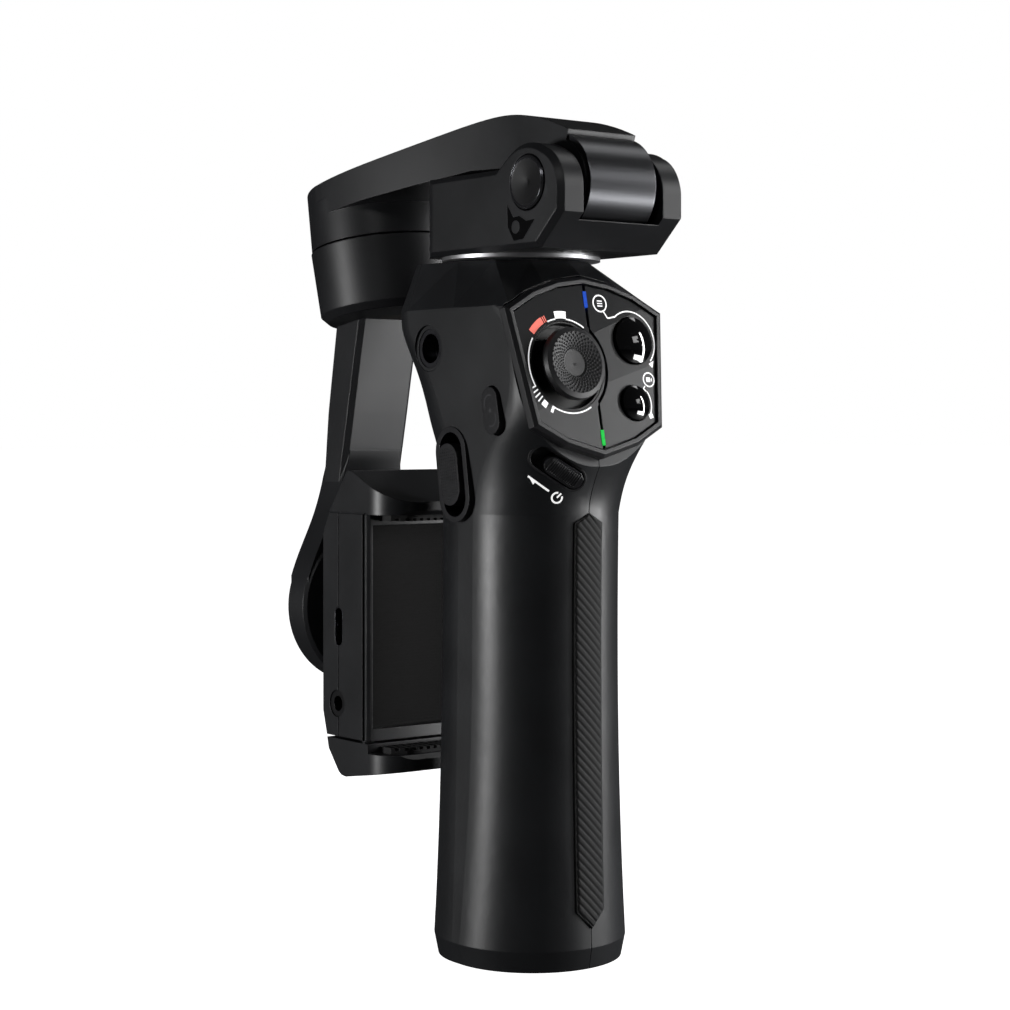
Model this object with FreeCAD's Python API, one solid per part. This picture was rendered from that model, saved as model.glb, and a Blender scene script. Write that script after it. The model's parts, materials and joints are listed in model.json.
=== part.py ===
import FreeCAD
import Part
import math
import os

# Folding three-axis phone gimbal, stored folded: the handle stands on +Z, the control
# panel faces -Y, and the arm lies over the top with the phone clamp down behind.
# Lengths in mm, origin at the mouth of the tripod thread under the handle.

V = FreeCAD.Vector
X_AXIS = V(1, 0, 0)
Y_AXIS = V(0, 1, 0)
Z_AXIS = V(0, 0, 1)
RUN = 0.05
GAP = 0.3

# handle sections: height, half width, front, back, front corner radius, back corner radius
FOOT = [(0.0, 19.2, -20.4, 20.4, 19.1, 19.1),
        (4.5, 20.1, -21.3, 21.3, 20.0, 20.0)]
GRIP = [(4.5, 20.1, -21.3, 21.3, 20.0, 20.0),
        (22.0, 18.9, -20.7, 20.7, 18.7, 18.7),
        (50.0, 17.8, -20.2, 20.2, 17.6, 17.6),
        (74.0, 17.6, -20.1, 19.8, 17.4, 17.3),
        (96.0, 17.6, -20.4, 19.5, 17.4, 17.2)]
HEAD = [(96.0, 17.6, -20.4, 19.5, 17.4, 17.2),
        (103.0, 17.9, -22.2, 19.6, 16.9, 17.2),
        (109.0, 18.3, -25.2, 20.0, 16.0, 16.8),
        (115.0, 18.8, -27.6, 20.8, 13.0, 15.0),
        (121.0, 19.3, -28.6, 21.9, 11.0, 14.0),
        (127.0, 19.7, -28.6, 23.4, 10.0, 12.4),
        (136.0, 20.2, -26.0, 25.3, 9.0, 8.2)]
SHOULDER = [(136.0, 20.2, -26.0, 25.3, 9.0, 8.2),
            (140.0, 20.4, -22.0, 25.4, 9.0, 8.0)]
# half outlines of the faceted roof from front to back: foot inside the head, crease, flat top
ROOF_LOW = [(0, -15.0), (9.0, -15.4), (18.0, -15.8), (18.6, 0), (18.6, 16.8), (17.6, 20.4),
            (15.2, 22.8), (11.8, 23.6), (0, 23.6)]
ROOF_CREASE = [(0, -18.0, 146.4), (10.4, -18.6, 143.9), (20.3, -19.2, 139.6), (20.5, 0, 140.0),
               (20.4, 17.4, 140.0), (19.3, 21.4, 140.0), (16.4, 24.3, 140.0), (12.4, 25.4, 140.0),
               (0, 25.4, 140.0)]
ROOF_TOP = [(0, -12.6), (8.0, -10.4), (13.4, -5.0), (16.4, 4.0), (17.3, 16.5), (16.6, 19.0),
            (14.8, 20.9), (12.2, 21.6), (0, 21.6)]
ROOF_Z = (131.0, 150.3)
WALL = 2.0

# control panel plane, leaning back; its own frame is u to the right, v up, w outwards
PANEL_TILT = 11.5
PANEL = FreeCAD.Placement(V(0, -22.1, 126.9), FreeCAD.Rotation(X_AXIS, 90 - PANEL_TILT))
PANEL_OUTLINE = [(0, 20.2), (7.0, 19.2), (14.0, 16.9), (21.4, 12.8), (17.5, -12.5), (9.8, -16.5),
                 (0, -19.2), (-9.8, -16.5), (-17.5, -12.5), (-21.4, 12.8), (-14.0, 16.9), (-7.0, 19.2)]
PANEL_BACK = -2.4
JOYSTICK_U = -6.8
JOYSTICK_V = 0.6
WELL_R = 9.6
GROOVE_U = 0.4
JOYSTICK_PIVOT = -5.6
CAPTURE_UV = (12.1, 6.4)
CAPTURE_R = 5.0
RECORD_UV = (10.5, -7.3)
RECORD_R = 3.7

# controls on the left side: where each one sits and how its face leans, and the side thread
POWER_AT = V(-9.0, -21.0, 105.9)
POWER_OUT = V(-0.38, -0.873, -0.305)
POWER_LONG = V(0.83, -0.20, -0.52)
ZOOM_AT = V(-19.0, 2.6, 104.4)
ZOOM_TILT = 8.5
MODE_AT = V(-20.2, -12.5, 118.0)
MODE_TILT = 11.0
INSERT_Y = 10.2
INSERT_Z = 131.6
THREAD_R = 3.175

# pan motor and folding hinge
PAN_Y = 3.0
PAN_R = 17.4
HINGE_Y = -21.0
HINGE_Z = 165.2
PIN_R = 3.0
ARM_HALF = 9.2
SLEEVE_HALF = 8.9
SLOT_HALF = 10.8
SLEEVE_R = 10.8

# tilt motor axis, leaning 9 degrees, through the seam centre
TILT_TOP = V(0, 54.9, 157.2)
TILT_UP = V(0, math.sin(math.radians(9.1)), math.cos(math.radians(9.1)))
CUP_DEEP = 16.6

# roll motor and phone clamp
ROLL_Z = 72.0
ROLL_R = 19.0
CLAMP_HALF = 18.0
CLAMP_LOW = 43.1
CLAMP_HIGH = 95.0
PART_Y = 48.7
SLIT_Y = 37.9


def save(node, shape):
    """Write one node, and say what it is made of."""
    shape = shape.removeSplitter() if len(shape.Solids) < 3 else shape
    if not shape.isValid():
        print("INVALID", node)
    print(node, len(shape.Solids), round(shape.Volume, 1))
    shape.exportStep("parts/" + node + ".step")


def box(x0, x1, y0, y1, z0, z1):
    """Block between two corners."""
    return Part.makeBox(x1 - x0, y1 - y0, z1 - z0, V(x0, y0, z0))


def rod(radius, start, direction, length):
    """Cylinder from a start point along a direction."""
    return Part.makeCylinder(radius, length, start, direction)


def tube(outer, inner, start, direction, length):
    """Cylinder with a through bore."""
    bore = rod(inner, start - direction * 1.0, direction, length + 2.0)
    return rod(outer, start, direction, length).cut(bore)


def side_slab(points, x0, x1):
    """Solid with a (y, z) outline, from x0 to x1."""
    loop = [V(x0, y, z) for y, z in points]
    face = Part.Face(Part.makePolygon(loop + [loop[0]]))
    return face.extrude(V(x1 - x0, 0, 0))


def front_slab(points, y0, y1):
    """Solid with an (x, z) outline, from y0 to y1."""
    loop = [V(x, y0, z) for x, z in points]
    face = Part.Face(Part.makePolygon(loop + [loop[0]]))
    return face.extrude(V(0, y1 - y0, 0))


def flat_slab(points, z0, z1):
    """Solid with an (x, y) outline, from z0 to z1."""
    loop = [V(x, y, z0) for x, y in points]
    face = Part.Face(Part.makePolygon(loop + [loop[0]]))
    return face.extrude(V(0, 0, z1 - z0))


def curved_slab(start, flank, y1, z0, z1):
    """Solid, the same on both sides of x = 0: straight from (x, y) start, smooth flank, end at y1."""
    edges = []
    for side in (1, -1):
        points = [V(side * x, y, z0) for x, y in flank]
        curve = Part.BSplineCurve()
        curve.interpolate(points)
        edges.append(curve.toShape())
        edges.append(Part.makeLine(V(side * start[0], start[1], z0), points[0]))
        edges.append(Part.makeLine(points[-1], V(side * flank[-1][0], y1, z0)))
    edges.append(Part.makeLine(V(start[0], start[1], z0), V(-start[0], start[1], z0)))
    edges.append(Part.makeLine(V(flank[-1][0], y1, z0), V(-flank[-1][0], y1, z0)))
    return Part.Face(Part.Wire(Part.__sortEdges__(edges))).extrude(V(0, 0, z1 - z0))


def pill(length, width, z0, z1):
    """Stadium-shaped block standing on z, its long axis along y."""
    r = width / 2
    half = length / 2 - r
    body = box(-r, r, -half, half, z0, z1)
    for y in (-half, half):
        body = body.fuse(rod(r, V(0, y, z0), Z_AXIS, z1 - z0))
    return body.removeSplitter()


def turned(profile):
    """Solid of revolution about z from an (r, z) outline."""
    loop = [V(r, 0, z) for r, z in profile]
    face = Part.Face(Part.makePolygon(loop + [loop[0]]))
    return face.revolve(V(0, 0, 0), Z_AXIS, 360)


def placed(shape, placement):
    """Copy of a shape moved to a placement."""
    moved = shape.copy()
    moved.Placement = placement.multiply(moved.Placement)
    return moved


def along(start, direction):
    """Placement that takes local z to a direction at a start point."""
    return FreeCAD.Placement(start, FreeCAD.Rotation(Z_AXIS, direction))


def section(z, half, front, back, front_r, back_r, inset=0.0):
    """Rounded outline of the handle at one height."""
    x = half - inset
    y0 = front + inset
    y1 = back - inset
    f = front_r - inset
    b = back_r - inset
    k = math.sqrt(0.5)
    edges = [
        Part.makeLine(V(-x + f, y0, z), V(x - f, y0, z)),
        Part.Arc(V(x - f, y0, z), V(x - f + f * k, y0 + f - f * k, z), V(x, y0 + f, z)).toShape(),
        Part.makeLine(V(x, y0 + f, z), V(x, y1 - b, z)),
        Part.Arc(V(x, y1 - b, z), V(x - b + b * k, y1 - b + b * k, z), V(x - b, y1, z)).toShape(),
        Part.makeLine(V(x - b, y1, z), V(-x + b, y1, z)),
        Part.Arc(V(-x + b, y1, z), V(-x + b - b * k, y1 - b + b * k, z), V(-x, y1 - b, z)).toShape(),
        Part.makeLine(V(-x, y1 - b, z), V(-x, y0 + f, z)),
        Part.Arc(V(-x, y0 + f, z), V(-x + f - f * k, y0 + f - f * k, z), V(-x + f, y0, z)).toShape(),
    ]
    return Part.Wire(edges)


def skin(rows, inset, ruled):
    """Solid through a list of handle sections."""
    wires = [section(*row, inset=inset) for row in rows]
    return Part.makeLoft(wires, True, ruled)


def loop_of(half, z=None):
    """Whole loop of points from a half outline that starts and ends on the centre plane."""
    points = [V(p[0], p[1], p[2] if z is None else z) for p in half]
    mirrored = [V(-p.x, p.y, p.z) for p in reversed(points[1:-1])]
    return points + mirrored


def roof_block():
    """Faceted roof of the head, between the crease and the flat top."""
    loops = [loop_of(ROOF_LOW, ROOF_Z[0]), loop_of(ROOF_CREASE), loop_of(ROOF_TOP, ROOF_Z[1])]
    faces = [Part.Face(Part.makePolygon(loop + loop[:1])) for loop in (loops[0], loops[2])]
    count = len(loops[0])
    for low, high in zip(loops, loops[1:]):
        for i in range(count):
            j = (i + 1) % count
            faces.append(Part.Face(Part.makePolygon([low[i], low[j], high[j], low[i]])))
            faces.append(Part.Face(Part.makePolygon([low[i], high[j], high[i], low[i]])))
    shell = Part.makeShell(faces)
    shell.sewShape()
    return Part.Solid(shell)


def handle_block(inset):
    """The whole handle as one solid, shrunk by an inset."""
    block = skin(FOOT, inset, True)
    block = block.fuse(skin(GRIP, inset, False))
    block = block.fuse(skin(HEAD, inset, False))
    block = block.fuse(skin(SHOULDER, inset, True))
    return block.fuse(roof_block())


def shrunk(points, inset):
    """Convex clockwise outline moved inwards by a distance."""
    count = len(points)
    lines = []
    for i in range(count):
        ax, ay = points[i]
        bx, by = points[(i + 1) % count]
        dx = bx - ax
        dy = by - ay
        length = math.hypot(dx, dy)
        lines.append((ax + dy / length * inset, ay - dx / length * inset, dx, dy))
    result = []
    for i in range(count):
        px, py, dx, dy = lines[i - 1]
        qx, qy, ex, ey = lines[i]
        cross = dx * ey - dy * ex
        t = ((qx - px) * ey - (qy - py) * ex) / cross
        result.append((px + dx * t, py + dy * t))
    return result


def panel_slab(points, w0, w1):
    """Plate in the panel's own frame."""
    return flat_slab(points, w0, w1)


def in_panel(shape):
    """Move a solid from the panel's frame to its place on the handle."""
    return placed(shape, PANEL)


def panel_rod(u, v, radius, w0, w1):
    """Round post standing in the panel's own frame."""
    return rod(radius, V(u, v, w0), Z_AXIS, w1 - w0)


def make_panel():
    """Bezel, split plate, light bars and the joystick's dish."""
    low = Part.makePolygon([V(u, v, PANEL_BACK) for u, v in PANEL_OUTLINE + PANEL_OUTLINE[:1]])
    mid = Part.makePolygon([V(u, v, -0.7) for u, v in PANEL_OUTLINE + PANEL_OUTLINE[:1]])
    crown = shrunk(PANEL_OUTLINE, 0.8)
    top = Part.makePolygon([V(u, v, 0.0) for u, v in crown + crown[:1]])
    inner = shrunk(PANEL_OUTLINE, 1.6)
    bezel = Part.makeLoft([low, mid], True, True).fuse(Part.makeLoft([mid, top], True, True))
    bezel = bezel.cut(panel_slab(inner, PANEL_BACK - 1, 1))
    save("panel_bezel", in_panel(bezel))

    plate = panel_slab(shrunk(PANEL_OUTLINE, 1.9), PANEL_BACK, -0.5)
    plate = plate.cut(panel_rod(JOYSTICK_U, JOYSTICK_V, WELL_R + 0.1, -5, 1))
    for (u, v), r in ((CAPTURE_UV, CAPTURE_R), (RECORD_UV, RECORD_R)):
        plate = plate.cut(panel_rod(u, v, r + GAP, -5, 1))
    groove = box(GROOVE_U - 0.35, GROOVE_U + 0.35, -22, 22, -5, 1)
    arc = tube(WELL_R + 1.4, WELL_R + 0.7, V(JOYSTICK_U, JOYSTICK_V, -5), Z_AXIS, 6)
    arc = arc.common(box(GROOVE_U, 20, -22, 22, -5, 1))
    disc = panel_rod(JOYSTICK_U, JOYSTICK_V, WELL_R + 1.4, -5, 1)
    groove = groove.cut(disc).fuse(arc)
    blue = box(GROOVE_U - 0.45, GROOVE_U + 0.45, 13.4, 16.9, PANEL_BACK, -0.4)
    green = box(GROOVE_U - 0.45, GROOVE_U + 0.45, -16.4, -13.1, PANEL_BACK, -0.4)
    plate = plate.cut(groove).cut(blue).cut(green)
    left_side = box(-30, GROOVE_U, -25, 25, -5, 1).fuse(disc)
    save("panel_plate_left", in_panel(plate.common(left_side)))
    save("panel_plate_right", in_panel(plate.cut(left_side)))
    save("blue_light_bar", in_panel(blue))
    save("green_light_bar", in_panel(green))

    dish = turned([(3.2, -3.0), (WELL_R, -3.0), (WELL_R, -0.6), (WELL_R - 0.4, -0.6), (9.1, -2.2),
                   (8.6, -2.4), (3.2, -2.4)])
    dish.translate(V(JOYSTICK_U, JOYSTICK_V, 0))
    save("joystick_well", in_panel(dish))


def make_joystick():
    """Two-axis thumb stick: base, cradle, stem and knurled cap."""
    at = V(JOYSTICK_U, JOYSTICK_V, JOYSTICK_PIVOT)
    base = tube(6.6, 4.7, at - Z_AXIS * 2.9, Z_AXIS, 4.0)
    base = base.cut(rod(0.56, at - X_AXIS * 8, X_AXIS, 16))
    save("joystick_base", in_panel(base))
    cradle = tube(3.9, 2.5, at - Z_AXIS * 0.7, Z_AXIS, 1.4)
    for side in (-1, 1):
        cradle = cradle.fuse(rod(0.5, at + X_AXIS * side * 3.2, X_AXIS * side, 2.6))
    cradle = cradle.cut(rod(0.56, at - Y_AXIS * 6, Y_AXIS, 12))
    save("joystick_cradle", in_panel(cradle))
    stem = rod(1.5, at - Z_AXIS * 0.8, Z_AXIS, 7.4)
    stem = stem.fuse(rod(0.5, at - Y_AXIS * 3.6, Y_AXIS, 7.2))
    save("joystick_stem", in_panel(stem))
    cap = turned([(0, 0.2), (6.9, 0.2), (7.6, 0.7), (7.9, 1.6), (7.6, 2.7), (6.6, 3.1),
                  (2.7, 2.1), (0, 2.0)])
    cap.translate(V(JOYSTICK_U, JOYSTICK_V, 0))
    save("joystick_cap", in_panel(cap.cut(stem)))


def press_button(node, uv, radius, rise):
    """Domed push button with a short stem that reaches its switch."""
    ball_r = (radius * radius + rise * rise) / (2 * rise)
    dome = Part.makeSphere(ball_r, V(0, 0, 0.2 + rise - ball_r))
    head = rod(radius, V(0, 0, -1.3), Z_AXIS, 1.5 + rise).common(dome)
    head = head.fuse(rod(radius, V(0, 0, -1.3), Z_AXIS, 1.4))
    head = head.fuse(rod(1.6, V(0, 0, -4.9), Z_AXIS, 3.8))
    head.translate(V(uv[0], uv[1], 0))
    save(node, in_panel(head))


def power_frame():
    """Placement with local z out of the surface and local y along the slider."""
    out = V(POWER_OUT)
    out.normalize()
    side = V(POWER_LONG).cross(out)
    side.normalize()
    up = out.cross(side)
    m = FreeCAD.Matrix(side.x, up.x, out.x, POWER_AT.x, side.y, up.y, out.y, POWER_AT.y,
                       side.z, up.z, out.z, POWER_AT.z, 0, 0, 0, 1)
    return FreeCAD.Placement(m)


def side_frame(at, lean):
    """Placement on the -X side: local z outwards, local y up the side, leaning back."""
    turn = FreeCAD.Rotation(X_AXIS, -lean)
    face = FreeCAD.Rotation(Y_AXIS, -90).multiply(FreeCAD.Rotation(Z_AXIS, -90))
    return FreeCAD.Placement(at, turn.multiply(face))


def make_side_controls():
    """Power slider, zoom slider and mode button with their wells."""
    power = power_frame()
    well = pill(14.4, 5.6, -2.6, 0.1).cut(pill(13.4, 4.6, -1.8, 2))
    save("power_well", placed(well, power))
    knob = pill(9.6, 3.9, -1.4, 0.6)
    knob.translate(V(0, 1.5, 0))
    save("power_knob", placed(knob, power))
    zoom = side_frame(ZOOM_AT, ZOOM_TILT)
    rim = pill(20.6, 10.8, -4.0, 0.0).cut(pill(18.2, 8.0, -5.0, 1.0))
    save("zoom_bezel", placed(rim, zoom))
    slider = pill(13.4, 7.2, -3.6, 1.1)
    save("zoom_slider", placed(slider, zoom))
    mode = side_frame(MODE_AT, MODE_TILT)
    save("mode_button", placed(pill(10.0, 5.2, -3.2, 0.0), mode))


def make_handle():
    """Two grip shells with everything that is cut into them."""
    outer = handle_block(0.0)
    roofline = [(0, 20.5), (7.1, 19.5), (14.1, 17.2), (21.8, 12.9), (40, 3.0), (40, -24), (-40, -24),
                (-40, 3.0), (-21.8, 12.9), (-14.1, 17.2), (-7.1, 19.5)]
    front_off = in_panel(panel_slab(roofline, PANEL_BACK, 20))
    body = outer.cut(front_off)
    hollow = skin([(3.2,) + FOOT[0][1:], GRIP[0]], WALL, True)
    hollow = hollow.fuse(skin(GRIP, WALL, False))
    hollow = hollow.fuse(skin(HEAD, WALL, False))
    hollow = hollow.cut(in_panel(panel_slab([(-40, 40), (40, 40), (40, -40), (-40, -40)],
                                            PANEL_BACK - WALL, 20)))
    hollow = hollow.fuse(rod(13.6, V(0, PAN_Y, 133), Z_AXIS, 13.6))
    body = body.cut(hollow)
    body = body.cut(rod(8.6, V(0, PAN_Y, 146), Z_AXIS, 5))
    body = body.cut(skin([(-1.0,) + FOOT[0][1:], (3.4,) + FOOT[0][1:]], 2.6, True))
    cuts = [panel_rod(JOYSTICK_U, JOYSTICK_V, WELL_R, -8, 1)]
    cuts += [panel_rod(uv[0], uv[1], 1.6 + GAP, -8, 1) for uv in (CAPTURE_UV, RECORD_UV)]
    for cut in cuts:
        body = body.cut(in_panel(cut))
    body = body.cut(placed(pill(14.4, 5.6, -2.6, 8), power_frame()))
    body = body.cut(placed(pill(20.6, 10.8, -5, 8), side_frame(ZOOM_AT, ZOOM_TILT)))
    body = body.cut(placed(pill(10.0 + 2 * GAP, 5.2 + 2 * GAP, -6, 8), side_frame(MODE_AT, MODE_TILT)))
    body = body.fuse(rod(5.6, V(-14.2, INSERT_Y, INSERT_Z), X_AXIS * -1, 5.0).cut(
        rod(13.6, V(0, PAN_Y, 133), Z_AXIS, 13.6)))
    body = body.cut(rod(5.0, V(-19.5, INSERT_Y, INSERT_Z), X_AXIS * -1, 4))
    body = body.cut(rod(4.2, V(-14.6, INSERT_Y, INSERT_Z), X_AXIS * -1, 12))
    strip_zone = front_slab([(-3.7, 12.4), (0, 8.6), (3.7, 12.4), (3.7, 94.3), (0, 96.3), (-3.7, 94.3)],
                            -30, -10)
    under = handle_block(1.2)
    body = body.cut(strip_zone.cut(under))
    strip = strip_zone.common(handle_block(-0.35).cut(under))
    save("grip_strip", strip)
    for side, node in ((-1, "left_grip_shell"), (1, "right_grip_shell")):
        half = box(min(side * 0.06, side * 60), max(side * 0.06, side * 60), -60, 60, -5, 160)
        save(node, body.common(half))
    insert = rod(4.2, V(-14.6, INSERT_Y, INSERT_Z), X_AXIS * -1, 4.7)
    save("accessory_insert", insert.cut(rod(THREAD_R, V(-15.6, INSERT_Y, INSERT_Z), X_AXIS * -1, 12)))


def make_foot():
    """Base plate with the tripod bush and its screws."""
    plate = skin([(0.0,) + FOOT[0][1:], (3.2,) + FOOT[0][1:]], 2.7, True)
    plate = plate.cut(rod(5.6, V(0, 0, -1), Z_AXIS, 6))
    spots = [V(x, y, 0) for x in (-9.5, 9.5) for y in (-8.5, 8.5)]
    screws = []
    for at in spots:
        head = rod(1.9, at, Z_AXIS, 1.4).fuse(rod(0.95, at, Z_AXIS, 5.0))
        plate = plate.cut(head)
        head = head.cut(box(at.x - 1.3, at.x + 1.3, at.y - 0.25, at.y + 0.25, -1, 0.7))
        screws.append(head)
    bush = tube(5.6, THREAD_R, V(0, 0, 0), Z_AXIS, 8.0)
    bush = bush.fuse(tube(7.5, 5.0, V(0, 0, 3.2), Z_AXIS, 2.0))
    save("base_plate", plate)
    save("tripod_insert", bush)
    save("base_screws", Part.makeCompound(screws))


def make_insides():
    """Cells, carrier, boards and switches inside the handle."""
    cells = [rod(8.75, V(0, y, 15.0), Z_AXIS, 65.0) for y in (-9.0, 9.0)]
    cells = [c.fuse(rod(3.0, V(c.CenterOfMass.x, c.CenterOfMass.y, 80.0), Z_AXIS, 1.2)) for c in cells]
    save("battery_cells", Part.makeCompound(cells))
    carrier = skin([(11.0,) + GRIP[3][1:], (15.0,) + GRIP[3][1:]], WALL + 0.9, True)
    carrier = carrier.cut(rod(8.4, V(0, 0, 9), Z_AXIS, 4.2))
    carrier = carrier.fuse(box(-15.2, -10.8, -4, 4, 15, 84).common(
        skin([(15.0,) + GRIP[3][1:], (84.0,) + GRIP[3][1:]], WALL + 0.5, True)))
    carrier = carrier.cut(Part.makeCompound(cells))
    save("battery_carrier", carrier)
    board = box(-12.5, 12.5, 4.0, 5.6, 85.0, 112.0)
    save("main_board", board)
    panel_board = panel_slab([(-15, 7), (15, 7), (15, -11), (-15, -11)], -10.1, -8.5)
    save("panel_board", in_panel(panel_board))
    spots = ((CAPTURE_UV[0], 4.8), RECORD_UV)
    switches = [in_panel(box(u - 2.2, u + 2.2, v - 2.2, v + 2.2, -8.5, -6.2)) for u, v in spots]
    save("tact_switches", Part.makeCompound(switches))


def coil_ring(outer, inner, start, direction, height, teeth):
    """Motor stator: a ring with slots between its poles."""
    ring = tube(outer, inner, start, direction, height)
    place = along(start, direction)
    for i in range(teeth):
        slot = box(inner - 0.5, outer - 1.6, -0.5, 0.5, -1, height + 1)
        slot.rotate(V(0, 0, 0), Z_AXIS, 360.0 * i / teeth)
        ring = ring.cut(placed(slot, place))
    return ring


def make_pan():
    """Pan motor, bright ring and the hinge block with its two ears."""
    save("pan_stator", coil_ring(13.4, 8.6, V(0, PAN_Y, 136.8), Z_AXIS, 9.4, 12))
    save("pan_bearing", tube(8.6, 4.0 + RUN, V(0, PAN_Y, 146.6), Z_AXIS, 3.0))
    rotor = rod(8.2, V(0, PAN_Y, 137.3), Z_AXIS, 8.8).fuse(rod(4.0, V(0, PAN_Y, 137.3), Z_AXIS, 15.6))
    save("pan_rotor", rotor)
    save("pan_ring", tube(PAN_R, 4.0, V(0, PAN_Y, 150.8), Z_AXIS, 0.8))

    start = [V(-17, -24.2, 151.6), V(-17, 16.5, 151.6), V(-17, 16.5, 168.8), V(-17, -9.8, 168.8),
             V(-17, -13.4, 171.4)]
    edges = [Part.makeLine(a, b) for a, b in zip(start, start[1:])]
    edges.append(Part.Arc(start[-1], V(-17, -19.6, 173.5), V(-17, -26.2, 171.9)).toShape())
    edges.append(Part.Arc(V(-17, -26.2, 171.9), V(-17, -30.3, 168.6), V(-17, -31.8, 163.8)).toShape())
    edges.append(Part.makeLine(V(-17, -31.8, 163.8), V(-17, -31.8, 158.6)))
    edges.append(Part.makeLine(V(-17, -31.8, 158.6), start[0]))
    outline = Part.Wire(edges)
    inner = outline.makeOffset2D(-1.2)
    block = Part.Face(outline).extrude(V(31.6, 0, 0))
    block.translate(V(1.2, 0, 0))
    for out, near in ((-17.0, -15.8), (17.0, 15.8)):
        low = inner.copy()
        low.translate(V(out + 17, 0, 0))
        high = outline.copy()
        high.translate(V(near + 17, 0, 0))
        block = block.fuse(Part.makeLoft([low, high], True, True))
    block = block.cut(corner_trim(17, 16.5, 4.0))
    slot = box(-SLOT_HALF, SLOT_HALF, -40, HINGE_Y, 157.2, 190)
    slot = slot.fuse(box(-SLOT_HALF, SLOT_HALF, HINGE_Y - 1, -6.0, HINGE_Z, 190))
    slot = slot.fuse(rod(SLEEVE_R + 0.5, V(-SLOT_HALF, HINGE_Y, HINGE_Z), X_AXIS, 2 * SLOT_HALF))
    block = block.cut(slot)
    block = block.cut(rod(PIN_R, V(-20, HINGE_Y, HINGE_Z), X_AXIS, 40))
    block = block.cut(rod(5.9, V(-20, HINGE_Y, HINGE_Z), X_AXIS, 7.4))
    block = block.cut(rod(5.7, V(14.6, HINGE_Y, HINGE_Z), X_AXIS, 6.0))
    block = block.cut(rod(4.0, V(0, PAN_Y, 150), Z_AXIS, 2.9))
    block = block.cut(mark_shape())
    save("hinge_block", block)
    save("hinge_pin", rod(PIN_R, V(-12.6, HINGE_Y, HINGE_Z), X_AXIS, 27.0))
    save("hinge_cap", rod(5.7, V(14.6, HINGE_Y, HINGE_Z), X_AXIS, 2.2).cut(
        rod(PIN_R, V(12, HINGE_Y, HINGE_Z), X_AXIS, 2.6)))
    save("lock_mark", mark_shape())
    button = turned([(0, 0), (5.6, 0), (5.6, 2.9), (5.2, 3.3), (4.8, 3.1), (0, 2.6)])
    save("release_button", placed(button, along(V(-14.3, HINGE_Y, HINGE_Z), X_AXIS * -1)))


def corner_trim(x, y, radius):
    """What a round back corner of the hinge block leaves out, on both sides."""
    trim = None
    for side in (-1, 1):
        cx = side * (x - radius)
        piece = box(min(cx, side * (x + 5)), max(cx, side * (x + 5)), y - radius, y + 5, 150, 172)
        piece = piece.cut(rod(radius, V(cx, y - radius, 149), Z_AXIS, 30))
        trim = piece if trim is None else trim.fuse(piece)
    return trim


def mark_shape():
    """Plain wedge-shaped inlay low on the left ear, under the release button."""
    points = [(-14.2, 161.0), (-14.4, 156.4), (-16.4, 153.4), (-19.6, 153.6), (-23.4, 157.4),
              (-20.6, 157.2), (-18.2, 158.4), (-16.2, 158.2)]
    mark = side_slab(points, -17.0, -16.5)
    return mark.cut(rod(1.4, V(-19, -17.0, 156.2), X_AXIS, 4))


def make_arm():
    """Main arm with its hinge barrel, sleeve and the upper half of the tilt housing."""
    top = [(-24.8, 176.5), (-16, 179.6), (-5, 181.5), (5, 181.1), (16.5, 179.4), (35, 175.9),
           (55, 171.9), (67, 168.9), (74, 166.4)]
    spline = Part.BSplineCurve()
    spline.interpolate([V(-20, y, z) for y, z in top])
    low = [(74, 166.4), (74, 160.6), (66, 162.4), (41, 166.6), (25, 168.8), (8, 170.6), (-2.5, 170.3),
           (-8.0, 168.6), (-11.0, 165.6), (-13.6, 163.0), (-21, 165.2), (-24.8, 176.5)]
    edges = [spline.toShape()]
    edges += [Part.makeLine(V(-20, *a), V(-20, *b)) for a, b in zip(low, low[1:])]
    beam = Part.Face(Part.Wire(edges)).extrude(V(40, 0, 0))
    beam = beam.common(curved_slab((-ARM_HALF, -40),
                                   [(-ARM_HALF, -9), (-9.9, 6), (-12.4, 22), (-15.3, 36), (-17.3, 48),
                                    (-17.9, 56)], 90, 140, 200))
    axis_base = TILT_TOP - TILT_UP * 30
    keep = rod(18.0, axis_base, TILT_UP, 80)
    front_part = box(-40, 40, -60, 55, 100, 220)
    beam = beam.common(keep.fuse(front_part))
    housing = rod(18.0, TILT_TOP, TILT_UP, 10.5)
    barrel = rod(9.6, V(-ARM_HALF, HINGE_Y, HINGE_Z), X_AXIS, 2 * ARM_HALF)
    arm = beam.fuse(barrel).fuse(housing)
    sleeve = tube(SLEEVE_R, 9.6, V(-SLEEVE_HALF, HINGE_Y, HINGE_Z), X_AXIS, 2 * SLEEVE_HALF)
    sleeve = sleeve.common(side_slab([(-24.8, 190), (-45, 190), (-45, 150), (-17, 150), (-17, 158),
                                      (-24.8, 164)], -20, 20))
    arm = arm.cut(sleeve)
    arm = arm.cut(rod(PIN_R + RUN, V(-20, HINGE_Y, HINGE_Z), X_AXIS, 40))
    arm = arm.cut(rod(13.6, TILT_TOP - TILT_UP, TILT_UP, 9.0))
    arm = arm.cut(rod(7.0, TILT_TOP, TILT_UP, 10.8))
    cover = rod(11.0, TILT_TOP + TILT_UP * 10.8, TILT_UP, 1.0)
    arm = arm.cut(cover)
    save("main_arm", arm)
    save("arm_cover", cover)
    save("hinge_sleeve", sleeve)
    save("tilt_stator", coil_ring(13.5, 8.6, TILT_TOP + TILT_UP * 0.4, TILT_UP, 7.4, 12))
    save("tilt_bearing", tube(7.0, 4.0 + RUN, TILT_TOP + TILT_UP * 8.2, TILT_UP, 2.5))


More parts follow.
